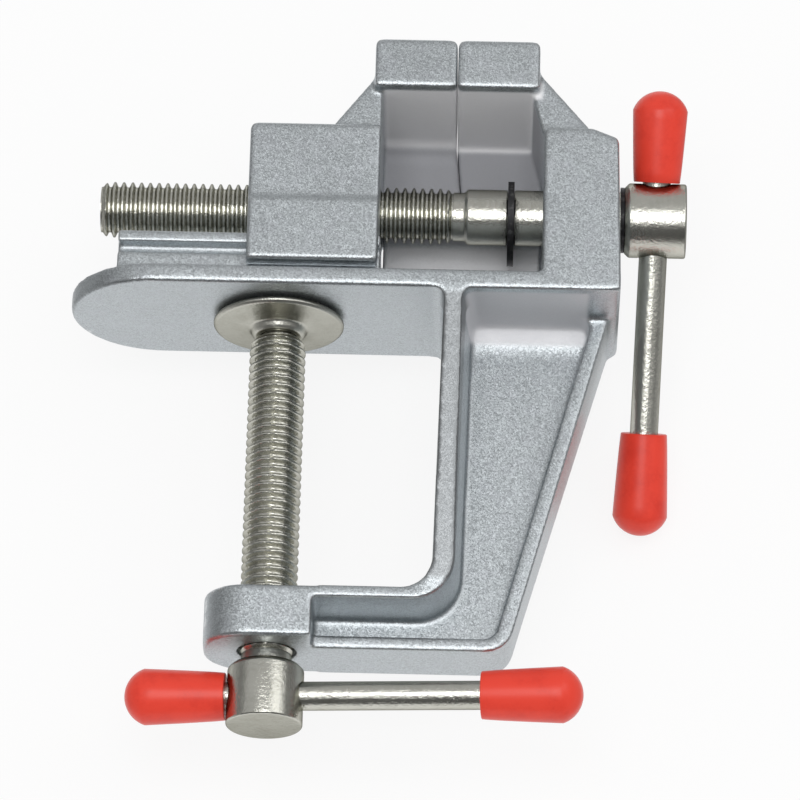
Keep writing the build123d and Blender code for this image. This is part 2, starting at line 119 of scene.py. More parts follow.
class Paint:
    """A node tree under construction, for a material or the world."""

    def __init__(self, tree: bpy.types.NodeTree) -> None:
        """Empties the tree."""
        self.tree = tree
        tree.nodes.clear()

    @classmethod
    def material(cls, name: str) -> tuple[bpy.types.Material, "Paint"]:
        """Starts a material.

        Args:
            name: The material's name.

        Returns:
            The material and the paint that fills its tree.
        """
        made = bpy.data.materials.new(name)
        made.use_nodes = True
        return made, cls(made.node_tree)

    def node(self, kind: str, settings: dict[str, Any], inputs: dict[Any, Any]) -> bpy.types.Node:
        """Adds any node.

        Args:
            kind: The node's type.
            settings: The node's own properties, set first.
            inputs: Values or links by socket name or number.

        Returns:
            The new node.
        """
        made = self.tree.nodes.new(kind)
        for key, setting in settings.items():
            setattr(made, key, setting)
        for key, value in inputs.items():
            if isinstance(value, Value):
                value = value.socket
            if isinstance(value, bpy.types.NodeSocket):
                self.tree.links.new(value, made.inputs[key])
            else:
                made.inputs[key].default_value = value
        return made

    def value(self, kind: str, settings: dict[str, Any], inputs: dict[Any, Any], out: Any = 0) -> Value:
        """Adds any node and wraps one of its outputs.

        Args:
            kind: The node's type.
            settings: The node's own properties.
            inputs: Values or links by socket name or number.
            out: The output's name or number.

        Returns:
            The wrapped output.
        """
        return Value(self, self.node(kind, settings, inputs).outputs[out])

    def vector(self, operation: str, inputs: dict[Any, Any]) -> bpy.types.NodeSocket:
        """Adds one Vector Math node.

        Args:
            operation: The node's operation.
            inputs: Its operands.

        Returns:
            The resulting vector.
        """
        return self.node("ShaderNodeVectorMath", {"operation": operation}, inputs).outputs[0]

    def place(self) -> bpy.types.NodeSocket:
        """The surface point in the piece's own space, which moves with the piece."""
        return self.node("ShaderNodeTexCoord", {}, {}).outputs["Object"]

    def noise(self, vector: bpy.types.NodeSocket, per_mm: float, detail: float = 3.0) -> Value:
        """Cloudy noise.

        Args:
            vector: Where the noise is read.
            per_mm: Features per millimetre.
            detail: Octaves.

        Returns:
            The noise, about 0.5 on average.
        """
        inputs = {"Vector": vector, "Scale": per_mm / MM, "Detail": detail, "Roughness": NOISE_ROUGH}
        return self.value("ShaderNodeTexNoise", {}, inputs)

    def grains(self, vector: bpy.types.NodeSocket, per_mm: float) -> Value:
        """A random value for each grain of a blasted surface.

        Args:
            vector: Where the grains are read.
            per_mm: Grains per millimetre.

        Returns:
            A value between 0 and 1 for each grain.
        """
        cells = self.node("ShaderNodeTexVoronoi", {}, {"Vector": vector, "Scale": per_mm / MM})
        return self.value("ShaderNodeSeparateColor", {}, {0: cells.outputs["Color"]})

    def stretched(self, axis: Vector, along: float, across: float) -> bpy.types.NodeSocket:
        """The surface point scaled differently along and across an axis, for tool marks.

        Args:
            axis: The axis of the marks.
            along: Scale along the axis.
            across: Scale across the axis.

        Returns:
            The scaled point.
        """
        place = self.place()
        dot = self.node("ShaderNodeVectorMath", {"operation": "DOT_PRODUCT"}, {0: place, 1: axis})
        far = Value(self, dot.outputs["Value"]) * (along - across)
        run = self.vector("SCALE", {0: axis, "Scale": far})
        even = self.vector("SCALE", {0: place, "Scale": across})
        return self.vector("ADD", {0: run, 1: even})

    def blend(self, factor: Any, first: Any, second: Any) -> bpy.types.NodeSocket:
        """Mixes two colours.

        Args:
            factor: 0 for the first colour, 1 for the second.
            first: A colour or a link.
            second: A colour or a link.

        Returns:
            The mixed colour.
        """
        pair = [(*c, 1.0) if isinstance(c, tuple) else c for c in (first, second)]
        mixed = self.node("ShaderNodeMix", {"data_type": "RGBA"}, {0: factor, 6: pair[0], 7: pair[1]})
        return mixed.outputs[2]

    def curvature(self) -> Value:
        """The mesh's pointiness: above 0.5 on outer edges, below it in corners."""
        return self.value("ShaderNodeNewGeometry", {}, {}, "Pointiness")

    def bump(self, height: Value, depth_mm: float, strength: float) -> bpy.types.NodeSocket:
        """Turns a height into a normal.

        Args:
            height: The height, 0 to 1.
            depth_mm: How deep 1 is.
            strength: How much of it shows.

        Returns:
            The bumped normal.
        """
        inputs = {"Height": height, "Distance": depth_mm * MM, "Strength": strength}
        return self.node("ShaderNodeBump", {}, inputs).outputs[0]

    def facets(self, vector: bpy.types.NodeSocket, per_mm: float, tilt: Any) -> bpy.types.NodeSocket:
        """Tilts each grain of a blasted surface its own way, so that single grains glint.

        Args:
            vector: Where the grains are read.
            per_mm: Grains per millimetre.
            tilt: How far they tilt.

        Returns:
            The tilted normal.
        """
        cells = self.node("ShaderNodeTexVoronoi", {}, {"Vector": vector, "Scale": per_mm / MM})
        aside = self.vector("SUBTRACT", {0: cells.outputs["Color"], 1: (0.5, 0.5, 0.5)})
        push = self.vector("SCALE", {0: aside, "Scale": tilt})
        plain = self.node("ShaderNodeNewGeometry", {}, {}).outputs["Normal"]
        return self.vector("NORMALIZE", {0: self.vector("ADD", {0: plain, 1: push})})

    def surface(self, inputs: dict[Any, Any]) -> None:
        """Ends a material with a Principled shader fed by inputs."""
        shader = self.node("ShaderNodeBsdfPrincipled", {}, inputs)
        self.node("ShaderNodeOutputMaterial", {}, {"Surface": shader.outputs[0]})


class Bend(Enum):
    """Which way a studio card is bent: over the front, or round one side."""

    OVER = 0
    ROUND = 1


class Marks(Enum):
    """Which way the tool marks of a plated piece run, as their scale along and across its axis."""

    TURNED = (2.6, 0.12)
    DRAWN = (0.06, 2.4)


@dataclass(frozen=True)
class PaintedLightBox:
    """A box of the castings, in millimetres, whose colour carries painted light or shade in place of the
    blasted colour, with its own roughness and metalness.
    """

    low: Corner
    high: Corner
    colour: Colour
    share: float = 0.9
    matt: float = 0.0
    rough: float = 0.16
    calm: float = 0.7
    fade: float = 1.0

    def mask(self, paint: Paint, place: bpy.types.NodeSocket) -> Value:
        """1 inside the box, fading out at its sides.

        Args:
            paint: The material's tree.
            place: The surface point.

        Returns:
            The share of this box's painted light or shade.
        """
        share = 1.0
        for axis, (low, high) in enumerate(zip(self.low, self.high)):
            along = paint.value("ShaderNodeSeparateXYZ", {}, {0: place}, axis)
            inner, outer = low + self.fade, high - self.fade
            share = along.band(low * MM, inner * MM) * along.band(high * MM, outer * MM) * share
        return share


@dataclass(frozen=True)
class BlastedAluminium:
    """Die-cast aluminium, blasted to a fine bright grain, smoother on its edges, matt in its pocket
    recesses; its colour carries painted shade in creases, a painted highlight with some wear on outer
    edges, and painted light or shade in the boxes below.
    """

    face: Colour = (0.655, 0.70, 0.722)
    # Darker grain tone, used again as painted shade in the concave creases.
    shade: Colour = (0.43, 0.458, 0.475)
    tint: Colour = (0.57, 0.585, 0.63)
    # Lighter colour of the outer edges: a painted highlight with some wear.
    edge: Colour = (0.74, 0.755, 0.765)
    grain_per_mm: float = 5.2
    spark_ratio: float = 1.3
    cloud_per_mm: float = 0.11
    tint_per_mm: float = 0.45
    tint_band: Pair = (0.45, 0.65)
    tint_share: float = 0.2
    tone_mix: tuple[float, float, float] = (0.7, 0.6, 0.3)
    tone_band: Pair = (0.40, 1.15)
    rim_wear_and_sheen_band: Pair = (0.515, 0.57)
    hollow_shade_band: Pair = (0.49, 0.44)
    curve_share: float = 0.5
    rough: float = 0.32
    rough_spark: float = 0.10
    rough_cloud: float = 0.08
    rough_rim: float = 0.10
    rough_hollow: float = 0.16
    tilt: float = 0.19
    # Painted light: the lower faces of the jaw heads are made nearly white and matt.
    lit_undersides: PaintedLightBox = PaintedLightBox(
        (13.6, -11.6, 29.6), (37.0, 9.0, 33.0), (0.96, 0.95, 0.96), matt=0.8, rough=0.22
    )
    # Painted shade: the pocket walls above the jaw screw are made darker and matt.
    shaded_pockets: PaintedLightBox = PaintedLightBox(
        (13.6, -9.5, 15.0), (37.0, 11.6, 30.8), (0.39, 0.39, 0.415), matt=0.8, rough=0.24
    )
    # Painted light: the wall below the jaw screw is made nearly white.
    lit_well: PaintedLightBox = PaintedLightBox((13.6, -9.5, 3.0), (37.0, 11.6, 15.6), (0.93, 0.93, 0.95))
    # Painted light: the roof of the arm's recess is made light and partly matt.
    lit_ceiling: PaintedLightBox = PaintedLightBox(
        (25.6, -11.4, -3.0), (44.0, 5.0, 0.8), (0.88, 0.88, 0.90), matt=0.3, rough=0.22
    )
    # Painted shade: the front of the arm's inner flange is made darker to dull its highlight.
    shaded_arm_edge: PaintedLightBox = PaintedLightBox(
        (20.5, -14.0, -42.0), (28.4, -6.4, -0.2), (0.34, 0.355, 0.365), rough=0.0, calm=0.4
    )

    def make(self) -> bpy.types.Material:
        """Builds the material."""
        material, paint = Paint.material("blasted_aluminium")
        place = paint.place()
        spark_per_mm = self.grain_per_mm * self.spark_ratio
        grain = paint.noise(place, self.grain_per_mm, detail=2.0)
        spark = paint.grains(place, spark_per_mm)
        cloud = paint.noise(place, self.cloud_per_mm, detail=4.0)
        patches = paint.noise(place, self.tint_per_mm, detail=2.0).band(*self.tint_band)
        curve = paint.curvature()
        rim, hollow_shade = curve.band(*self.rim_wear_and_sheen_band), curve.band(*self.hollow_shade_band)
        by_grain, by_spark, by_cloud = self.tone_mix
        tone = (grain * by_grain + spark * by_spark + cloud * by_cloud).band(*self.tone_band)
        skin = paint.blend(tone, self.shade, self.face)
        skin = paint.blend(patches * self.tint_share, skin, self.tint)
        # Painted shade darkens the concave creases; a painted highlight with some wear lightens the outer
        # edges.
        skin = paint.blend(hollow_shade * self.curve_share, skin, self.shade)
        skin = paint.blend(rim * self.curve_share, skin, self.edge)
        rough = self.rough + spark * self.rough_spark + cloud * self.rough_cloud
        rough = rough - rim * self.rough_rim + hollow_shade * self.rough_hollow
        tilt, metal = self.tilt, 1.0
        # Blends in each box's painted light or shade, with its roughness and metalness.
        for cast in (self.lit_undersides, self.shaded_pockets, self.lit_well, self.lit_ceiling, self.shaded_arm_edge):
            share = cast.mask(paint, place)
            skin = paint.blend(share * cast.share, skin, cast.colour)
            rough = rough + share * cast.rough
            tilt = (1 - share * cast.calm) * tilt
            metal = metal - share * cast.matt
        paint.surface(
            {
                "Base Color": skin,
                "Metallic": metal,
                "Roughness": rough,
                "Normal": paint.facets(place, spark_per_mm, tilt),
            }
        )
        return material


@dataclass(frozen=True)
class BrightNickel:
    """Nickel-plated steel with the marks of turning or drawing under the plate, darkened in its thread
    roots partly by oil residue and partly by painted shade.
    """

    marks: Marks
    axis: Corner
    gloss: float = 0.15
    pitting: float = 0.75
    plate: Colour = (0.67, 0.665, 0.605)
    dull: Colour = (0.56, 0.555, 0.495)
    grime_and_shade: Colour = (0.12, 0.11, 0.085)
    rim: Colour = (0.25, 0.25, 0.23)
    cloud_per_mm: float = 0.35
    pits_per_mm: float = 2.1
    pit_deep: float = 0.11
    tone_mix: tuple[float, float, float] = (0.2, 0.5, 0.3)
    tone_band: Pair = (0.25, 0.62)
    grime_and_shade_band: Pair = (0.47, 0.40)
    grime_and_shade_share: float = 0.85
    rough_line: float = 0.05
    rough_cloud: float = 0.06
    relief_mix: Pair = (0.3, 0.7)

    def make(self, name: str) -> bpy.types.Material:
        """Builds the material under a name."""
        material, paint = Paint.material(name)
        along, across = self.marks.value
        line = paint.noise(paint.stretched(Vector(self.axis), along, across), 1.0)
        cloud = paint.noise(paint.place(), self.cloud_per_mm)
        pits = paint.noise(paint.place(), self.pits_per_mm, detail=4.0)
        # Concave thread roots: darkened partly by oil residue and partly by painted shade.
        root_soil_and_shade = paint.curvature().band(*self.grime_and_shade_band)
        by_line, by_cloud, by_pits = self.tone_mix
        tone = (line * by_line + cloud * by_cloud + pits * by_pits).band(*self.tone_band)
        skin = paint.blend(tone, self.dull, self.plate)
        skin = paint.blend(root_soil_and_shade * self.grime_and_shade_share, skin, self.grime_and_shade)
        line_relief, pit_relief = self.relief_mix
        relief = line * line_relief + pits * pit_relief
        paint.surface(
            {
                "Base Color": skin,
                "Metallic": 1.0,
                "Specular Tint": (*self.rim, 1.0),
                "Roughness": self.gloss + line * self.rough_line + cloud * self.rough_cloud,
                "Normal": paint.bump(relief, self.pit_deep, self.pitting),
            }
        )
        return material


@dataclass(frozen=True)
class BlackOxide:
    """Spring steel with a black finish, worn a little in random patches."""

    skin: Colour = (0.022, 0.022, 0.024)
    worn: Colour = (0.10, 0.10, 0.10)
    cloud_per_mm: float = 1.5
    worn_band: Pair = (0.5, 0.75)
    metal: float = 0.6
    rough: float = 0.34
    rough_cloud: float = 0.25

    def make(self) -> bpy.types.Material:
        """Builds the material."""
        material, paint = Paint.material("black_oxide")
        cloud = paint.noise(paint.place(), self.cloud_per_mm, detail=4.0)
        paint.surface(
            {
                "Base Color": paint.blend(cloud.band(*self.worn_band), self.skin, self.worn),
                "Metallic": self.metal,
                "Roughness": self.rough + cloud * self.rough_cloud,
                "Normal": paint.bump(cloud, depth_mm=0.02, strength=0.2),
            }
        )
        return material


@dataclass(frozen=True)
class DippedVinyl:
    """Soft red vinyl, dipped, with a faint satin skin and small scuffs."""

    deep: Colour = (0.72, 0.040, 0.022)
    face: Colour = (0.84, 0.056, 0.030)
    cloud_per_mm: float = 0.22
    fine_per_mm: float = 2.2
    tone_mix: Pair = (0.8, 0.2)
    tone_band: Pair = (0.25, 0.60)
    rough: float = 0.24
    rough_fine: float = 0.14
    rough_cloud: float = 0.08
    gloss: float = 0.4
    coat: float = 0.06
    coat_rough: float = 0.2

    def make(self) -> bpy.types.Material:
        """Builds the material."""
        material, paint = Paint.material("dipped_vinyl")
        place = paint.place()
        cloud = paint.noise(place, self.cloud_per_mm)
        fine = paint.noise(place, self.fine_per_mm)
        by_cloud, by_fine = self.tone_mix
        tone = (cloud * by_cloud + fine * by_fine).band(*self.tone_band)
        paint.surface(
            {
                "Base Color": paint.blend(tone, self.deep, self.face),
                "Roughness": self.rough + fine * self.rough_fine + cloud * self.rough_cloud,
                "Specular IOR Level": self.gloss,
                "Coat Weight": self.coat,
                "Coat Roughness": self.coat_rough,
                "Normal": paint.bump(fine, depth_mm=0.03, strength=0.12),
            }
        )
        return material


@dataclass(frozen=True)
class Spindle:
    """A turning axis in the vise's frame, in millimetres."""

    origin: Vector
    axis: Vector
    side: Vector

    def point(self, along: float, radius: float, angle: float) -> Vector:
        """A point about the axis, in metres.

        Args:
            along: Distance along the axis.
            radius: Distance from the axis.
            angle: Turn from the side direction.

        Returns:
            The point in the vise's frame.
        """
        across = self.axis.cross(self.side)
        spoke = self.side * math.cos(angle) + across * math.sin(angle)
        return (self.origin + self.axis * along + spoke * radius) * MM


def soften(points: Profile, radius: float, steps: int = 4, most: float = 0.45) -> Profile:
    """Rounds the corners of an open profile.

    Args:
        points: Points (along, radius) of the profile.
        radius: How far from a corner the rounding starts, at most.
        steps: Stretches in each rounding.
        most: The largest share of a stretch that a rounding takes.

    Returns:
        The profile with its inner corners rounded.
    """
    soft = [points[0]]
    for before, corner, after in zip(points, points[1:], points[2:]):
        here = Vector(corner)
        back, ahead = Vector(before) - here, Vector(after) - here
        reach = min(radius, back.length * most, ahead.length * most)
        first = here + back.normalized() * reach
        last = here + ahead.normalized() * reach
        for step in range(steps + 1):
            t = step / steps
            bend = first * (1 - t) ** 2 + here * 2 * t * (1 - t) + last * t**2
            soft.append((bend.x, bend.y))
    return soft + [points[-1]]


class Turning:
    """A mesh turned about one spindle, ring by ring, with threads where asked."""

    def __init__(self, spindle: Spindle) -> None:
        """Starts an empty mesh."""
        self.spindle = spindle
        self.mesh = bmesh.new()

    def _ring(self, along: float, radius: float) -> list[bmesh.types.BMVert]:
        """One ring of vertices, or a single one on the axis.

        Args:
            along: Distance along the axis.
            radius: The ring's radius.

        Returns:
            The vertices.
        """
        count = SEGMENTS if radius > WELD else 1
        turns = [2 * math.pi * k / SEGMENTS for k in range(count)]
        return [self.mesh.verts.new(self.spindle.point(along, radius, a)) for a in turns]

    def profile(self, points: Profile, closed: bool = False) -> None:
        """Turns a profile into a surface.

        Args:
            points: Points (along, radius).
            closed: Whether the last point joins the first.
        """
        rings = [self._ring(*p) for p in points]
        pairs = list(zip(rings, rings[1:]))
        if closed:
            pairs.append((rings[-1], rings[0]))
        for low, high in pairs:
            for k in range(SEGMENTS):
                n = (k + 1) % SEGMENTS
                corners = [low[k % len(low)], low[n % len(low)], high[n % len(high)], high[k % len(high)]]
                face = list(dict.fromkeys(corners))
                if len(face) > 2:
                    self.mesh.faces.new(face)

    def thread(self, start: float, end: float, size: "Thread") -> None:
        """Winds a right-hand thread between two plain rings of its root radius.

        Args:
            start: Where the thread begins.
            end: Where it ends.
            size: The thread's sizes.
        """
        rows = size.rows
        turns = int((end - start) / size.pitch) + 2
        grid = []
        for row in range(-rows, turns * rows + 1):
            line = []
            for k in range(SEGMENTS + 1):
                wound = row / rows + k / SEGMENTS
                along = min(max(start + wound * size.pitch, start), end)
                radius = size.radius(wound, along - start, end - along)
                angle = 2 * math.pi * (k % SEGMENTS) / SEGMENTS
                line.append(self.mesh.verts.new(self.spindle.point(along, radius, angle)))
            grid.append(line)
        for low, high in zip(grid, grid[1:]):
            for k in range(SEGMENTS):
                self.mesh.faces.new((low[k], low[k + 1], high[k + 1], high[k]))

    def finish(self, name: str) -> bpy.types.Object:
        """Welds the mesh and makes it an object.

        Args:
            name: The object's name.

        Returns:
            The new object, in the scene.
        """
        bmesh.ops.remove_doubles(self.mesh, verts=self.mesh.verts, dist=WELD)
        bmesh.ops.dissolve_degenerate(self.mesh, edges=self.mesh.edges, dist=WELD)
        bmesh.ops.recalc_face_normals(self.mesh, faces=self.mesh.faces)
        data = bpy.data.meshes.new(name)
        self.mesh.to_mesh(data)
        self.mesh.free()
        return show(name, data)


def show(name: str, data: bpy.types.Mesh, sharp_deg: float = 40.0) -> bpy.types.Object:
    """Puts a mesh in the scene, shaded smooth but for its sharp edges.

    Args:
        name: The object's name.
        data: Its mesh.
        sharp_deg: The least angle of a sharp edge.

    Returns:
        The new object.
    """
    data.polygons.foreach_set("use_smooth", [True] * len(data.polygons))
    data.set_sharp_from_angle(angle=math.radians(sharp_deg))
    made = bpy.data.objects.new(name, data)
    bpy.context.scene.collection.objects.link(made)
    return made


def settle(piece: bpy.types.Object) -> None:
    """Applies a piece's modifiers to its own mesh."""
    graph = bpy.context.evaluated_depsgraph_get()
    done = bpy.data.meshes.new_from_object(piece.evaluated_get(graph))
    piece.modifiers.clear()
    piece.data = done


def dress(
    piece: bpy.types.Object, material: bpy.types.Material, body: str, node: str
) -> None:
    """Gives a piece its finish, its body and the node that it stands for.

    Args:
        piece: The new piece.
        material: Its finish.
        body: The body that it moves with.
        node: The solid that it replaces.
    """
    piece.data.materials.clear()
    piece.data.materials.append(material)
    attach(piece, body)
    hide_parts(node)
    log.info("piece %s on %s: %d faces", piece.name, body, len(piece.data.polygons))


@dataclass(frozen=True)
class Thread:
    """A coarse M8 thread, in millimetres."""

    diameter: float = 7.9
    pitch: float = 1.25
    deep: float = 0.72
    fade: float = 0.9
    rows: int = 16
    root_flat: float = 0.22
    flank_wide: float = 0.62

    @property
    def root(self) -> float:
        """The root's radius."""
        return self.diameter / 2 - self.deep

    def radius(self, wound: float, from_start: float, from_end: float) -> float:
        """The surface's radius on the wound ridge.

        Args:
            wound: Turns of the ridge since the start.
            from_start: Distance from the thread's start.
            from_end: Distance from its end.

        Returns:
            The radius there.
        """
        rise = 1 - abs(2 * (wound % 1.0) - 1)
        flank = min(max((rise - self.root_flat) / self.flank_wide, 0.0), 1.0)
        round_flank = flank * flank * (3 - 2 * flank)
        height = (flank + round_flank) / 2
        lead = min(from_start, from_end) / self.fade
        return self.root + self.deep * height * min(max(lead, 0.0), 1.0)


@dataclass
class Casting:
    """A cast piece: its solid's form with every edge and corner rounded as a casting's are."""

    node: str
    body: str
    voxel_mm: float = 0.3
    passes: int = 7
    pull: float = 0.5
    keep: float = 0.5

    def build(self, material: bpy.types.Material) -> None:
        """Builds and dresses the piece with the casting's finish."""
        shell = bmesh.new()
        shell.from_mesh(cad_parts[self.node].data)
        bmesh.ops.remove_doubles(shell, verts=shell.verts, dist=WELD)
        data = bpy.data.meshes.new(self.node + "_cast")
        shell.to_mesh(data)
        shell.free()
        piece = show(self.node + "_cast", data)
        remesh = piece.modifiers.new("skin", "REMESH")
        remesh.mode = "VOXEL"
        remesh.voxel_size = self.voxel_mm * MM
        smooth = piece.modifiers.new("round", "SMOOTH")
        smooth.factor = self.pull
        smooth.iterations = self.passes
        thin = piece.modifiers.new("thin", "DECIMATE")
        thin.ratio = self.keep
        settle(piece)
        piece.data.polygons.foreach_set("use_smooth", [True] * len(piece.data.polygons))
        dress(piece, material, self.body, self.node)


@dataclass
class ScrewHead:
    """A chamfered screw head with a cross hole, in millimetres."""

    diameter: float = 10.6
    long: float = 8.8
    chamfer: float = 0.7
    edge: float = 0.2
    hole: float = 4.2
    flare: float = 0.12
    past: float = 2.0
    sharp_deg: float = 32.0

    def profile(self, start: float) -> Profile:
        """Points of the head from its inner end.

        Args:
            start: Where the head begins.

        Returns:
            Its profile, down to the axis.
        """
        radius, end = self.diameter / 2, start + self.long
        return [
            (start, radius - self.chamfer),
            (start + self.chamfer, radius),
            (end - self.edge, radius),
            (end, radius - self.edge),
            (end, 0.0),
        ]

    def drill(self, piece: bpy.types.Object, bar: Spindle) -> None:
        """Cuts the cross hole for a bar through the head.

        Args:
            piece: The screw.
            bar: The bar's axis.
        """
        radius = self.hole / 2
        inner, outer = self.diameter / 2 - self.flare, self.diameter / 2 + self.past
        wide = radius + self.flare + self.past
        tool = Turning(bar)
        tool.profile(
            [
                (-outer, 0), (-outer, wide), (-inner, radius),
                (inner, radius), (outer, wide), (outer, 0),
            ]
        )
        cutter = tool.finish("hole_cutter")
        cut = piece.modifiers.new("hole", "BOOLEAN")
        cut.operation = "DIFFERENCE"
        cut.solver = "EXACT"
        cut.object = cutter
        settle(piece)
        bpy.data.objects.remove(cutter)
        piece.data.set_sharp_from_angle(angle=math.radians(self.sharp_deg))


@dataclass
class JawScrew:
    """The jaw screw: wound thread, undercut, journal with a clip groove and drilled head."""

    tip_x: float = -25.8
    thread_end_x: float = 24.2
    undercut: float = 1.6
    undercut_d: float = 6.9
    shoulder: float = 0.45
    clip_x: float = 31.9
    groove_end_x: float = 32.88
    groove_d: float = 7.0
    head_x: float = 48.45
    axis_z: float = 16.45
    thread: Thread = field(default_factory=Thread)
    head: ScrewHead = field(default_factory=ScrewHead)

    @property
    def spindle(self) -> Spindle:
        """The screw's axis."""
        return Spindle(Vector((0, 0, self.axis_z)), Vector((1, 0, 0)), Vector((0, 1, 0)))

    def build(self, material: bpy.types.Material, bar: Spindle) -> None:
        """Builds and dresses the screw.

        Args:
            material: Its finish.
            bar: The axis of the bar through its head.
        """
        shank = self.thread.diameter / 2
        root = self.thread.root
        end = self.thread_end_x
        tool = Turning(self.spindle)
        tool.profile([(self.tip_x, 0.0), (self.tip_x, root)])
        tool.thread(self.tip_x, end, self.thread)
        plain = [
            (end, root),
            (end, self.undercut_d / 2),
            (end + self.undercut, self.undercut_d / 2),
            (end + self.undercut + self.shoulder, shank),
            (self.clip_x, shank),
            (self.clip_x, self.groove_d / 2),
            (self.groove_end_x, self.groove_d / 2),
            (self.groove_end_x, shank),
            (self.head_x, shank),
        ]
        tool.profile(soften(plain + self.head.profile(self.head_x), SCREW_SOFT))
        piece = tool.finish("jaw_screw_wound")
        self.head.drill(piece, bar)
        dress(piece, material, "jaw_screw", "jaw_screw")


@dataclass
class ClampScrew:
    """The clamp screw: riveted tip, wound thread, neck and drilled head, measured down from the seat."""

    rivet_top: float = 0.55
    rivet_d: float = 6.2
    rivet_round: float = 0.15
    rivet_rim: float = 0.7
    rivet_low: float = 1.3
    pin_d: float = 4.8
    thread_start: float = 3.5
    thread_end: float = 50.8
    neck_d: float = 7.0
    head_start: float = 52.4
    thread: Thread = field(default_factory=Thread)
    head: ScrewHead = field(default_factory=lambda: ScrewHead(long=8.7))

    @property
    def spindle(self) -> Spindle:
        """The screw's axis, pointing down."""
        return Spindle(Vector((0, 0, 0)), Vector((0, 0, -1)), Vector((1, 0, 0)))

    def build(self, material: bpy.types.Material, bar: Spindle) -> None:
        """Builds and dresses the screw.

        Args:
            material: Its finish.
            bar: The axis of the bar through its head.
        """
        root = self.thread.root
        tool = Turning(self.spindle)
        tip = [
            (self.rivet_top, 0.0),
            (self.rivet_top, self.rivet_d / 2 - self.rivet_round),
            (self.rivet_rim, self.rivet_d / 2),
            (self.rivet_low, self.pin_d / 2),
            (self.thread_start, self.pin_d / 2),
            (self.thread_start, root),
        ]
        tool.profile(tip)
        tool.thread(self.thread_start, self.thread_end, self.thread)
        neck = [
            (self.thread_end, root),
            (self.thread_end, self.neck_d / 2),
            (self.head_start, self.neck_d / 2),
        ]
        tool.profile(soften(neck + self.head.profile(self.head_start), SCREW_SOFT))
        piece = tool.finish("clamp_screw_wound")
        self.head.drill(piece, bar)
        dress(piece, material, "clamp_screw", "clamp_screw")


@dataclass
class SwivelPad:
    """The dished pad on the clamp screw's tip, measured down from the seat, in millimetres."""

    top: float = 0.4
    disc: float = 1.0
    diameter: float = 18.4
    dish: float = 0.35
    hub_d: float = 7.4
    low: float = 2.9
    bore_d: float = 5.0
    sink_d: float = 6.6
    sink_low: float = 1.0
    cone: float = 0.6
    swell_drop: float = 0.45
    swell_at: float = 0.62
    soft: float = 0.4

    def build(self, material: bpy.types.Material, spindle: Spindle) -> None:
        """Builds and dresses the pad.

        Args:
            material: Its finish.
            spindle: The clamp screw's axis.
        """
        rim, under = self.diameter / 2, self.top + self.disc
        rise = [
            (self.top, self.sink_d / 2),
            (self.top, rim - self.dish),
            (self.top + self.dish, rim),
            (under - self.dish, rim),
            (under, rim - self.dish),
            (under + self.dish * self.swell_drop, rim * self.swell_at),
            (under + self.dish, self.hub_d / 2 + self.dish),
            (self.low - self.dish, self.hub_d / 2),
            (self.low, self.hub_d / 2 - self.dish),
            (self.low, self.bore_d / 2),
            (self.sink_low + self.cone, self.bore_d / 2),
            (self.sink_low, self.sink_d / 2),
        ]
        tool = Turning(spindle)
        tool.profile(soften(rise, self.soft), closed=True)
        piece = tool.finish("clamp_pad_dished")
        dress(piece, material, "clamp_pad", "clamp_pad")


class BarEnd(Enum):
    """The two ends of a tommy bar: the one that rests on the screw head and the far one."""

    RESTING = 1
    FAR = -1


